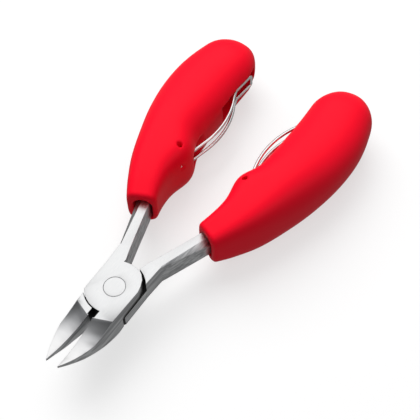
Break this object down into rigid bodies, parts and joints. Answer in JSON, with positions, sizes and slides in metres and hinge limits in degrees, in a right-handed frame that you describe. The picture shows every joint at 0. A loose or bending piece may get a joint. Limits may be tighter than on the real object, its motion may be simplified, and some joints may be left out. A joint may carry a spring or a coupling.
{
  "type": "nail nipper",
  "caption": "Plier-type toenail nipper: hollow-ground steel jaws on a riveted lap joint, bowed handle springs and rounded red plastic handles.",
  "frame": {"origin": "where the pivot axis meets the flat rear face of the joint", "axes": "+Y from the pivot towards the handle ends, +Z out of the front face with the hollow-ground jaws, +X towards the right handle"},
  "size_m": [0.0762, 0.1432, 0.0253],
  "materials": {
    "ground_steel": "satin",
    "red_plastic": "satin",
    "spring_wire": "polished"
  },
  "bodies": {
    "rear_half": {"rear_lever": "ground_steel", "right_handle": "red_plastic", "pivot_rivet": "ground_steel", "right_pin": "spring_wire"},
    "front_half": {"front_lever": "ground_steel", "left_handle": "red_plastic", "left_pin": "spring_wire"},
    "left_wire": {"left_spring": "spring_wire"},
    "right_wire": {"right_spring": "spring_wire"}
  },
  "joints": [
    {"name": "pivot", "type": "hinge", "parent": "rear_half", "child": "front_half", "pos_m": [0, 0, 0], "axis": [0, 0, 1], "range_deg": [-7.6, 20]},
    {"name": "left_spring_hinge", "type": "hinge", "parent": "front_half", "child": "left_wire", "pos_m": [-0.0131, 0.0547, 0], "axis": [0, 0, 1], "range_deg": [0, 3], "stiffness_Nm_per_rad": 0.3},
    {"name": "right_spring_hinge", "type": "hinge", "parent": "rear_half", "child": "right_wire", "pos_m": [0.0131, 0.0547, 0], "axis": [0, 0, -1], "range_deg": [0, 3], "stiffness_Nm_per_rad": 0.3}
  ]
}
